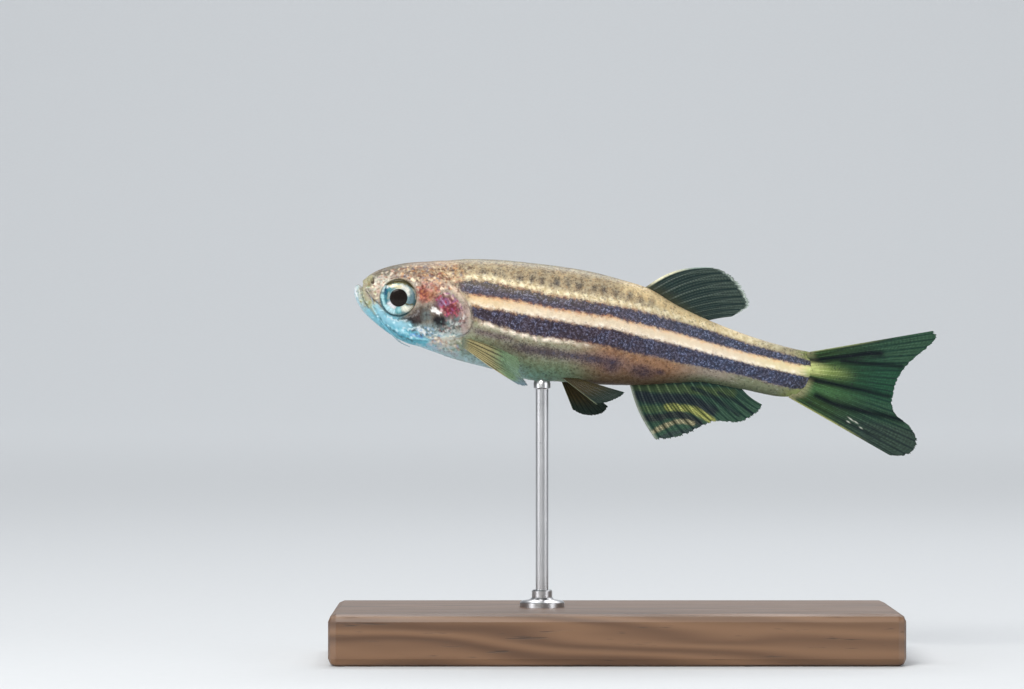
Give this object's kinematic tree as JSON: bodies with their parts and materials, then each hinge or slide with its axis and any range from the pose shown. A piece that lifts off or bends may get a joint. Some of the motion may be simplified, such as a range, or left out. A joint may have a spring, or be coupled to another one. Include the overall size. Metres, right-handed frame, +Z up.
{
  "type": "zebra danio",
  "caption": "Life-size still model of a striped aquarium fish, head slightly raised, held over a flat display base by a slim rod.",
  "frame": {"origin": "centre of the display base's underside", "axes": "+Z up, -X towards the fish's head, +X towards its tail, -Y towards its left side"},
  "size_m": [0.0473, 0.022, 0.0311],
  "materials": {
    "skin": "satin, wet-looking fish skin with dark blue and cream stripes",
    "eye": "clear gloss over a silver iris and a black pupil",
    "barbel": "satin",
    "fin": "translucent membrane with pale rays",
    "stand_base": "dark satin walnut",
    "stand_rod": "brushed"
  },
  "bodies": {
    "root": {"head": "skin", "lower_jaw": "skin", "gill_cover_left": "skin", "gill_cover_right": "skin", "trunk": "skin", "tail_stalk": "skin", "eye_left": "eye", "eye_right": "eye", "barbel_rostral_left": "barbel", "barbel_rostral_right": "barbel", "barbel_maxillary_left": "barbel", "barbel_maxillary_right": "barbel", "dorsal_fin": "fin", "anal_fin": "fin", "caudal_fin_upper": "fin", "caudal_fin_lower": "fin", "pectoral_fin_left": "fin", "pectoral_fin_right": "fin", "pelvic_fin_left": "fin", "pelvic_fin_right": "fin", "stand_base": "stand_base", "stand_rod": "stand_rod"}
  },
  "joints": []
}
